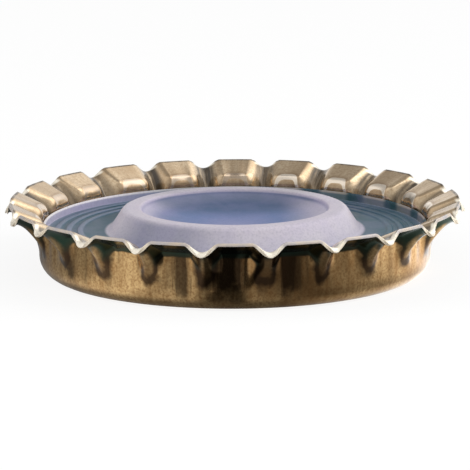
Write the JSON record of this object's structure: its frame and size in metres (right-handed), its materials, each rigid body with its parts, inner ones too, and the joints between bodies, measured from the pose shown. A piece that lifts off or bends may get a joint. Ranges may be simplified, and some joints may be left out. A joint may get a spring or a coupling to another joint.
{
  "type": "bottle cap",
  "caption": "Bottle cap of the crown type: a pressed sheet shell with a flared, fluted skirt and a thick moulded liner with a dished plug.",
  "frame": {"origin": "centre of the panel's outer face, on which the cap rests", "axes": "+Z along the cap's axis, out of the open side; a ridge of the skirt lies along +X and a flat faces -Y"},
  "size_m": [0.032, 0.0318, 0.0051],
  "materials": {
    "lacquered_tinplate": "gold lacquer, semi-gloss",
    "liner_plastic": "smooth, slightly translucent"
  },
  "bodies": {
    "root": {"shell": "lacquered_tinplate", "liner": "liner_plastic"}
  },
  "joints": []
}
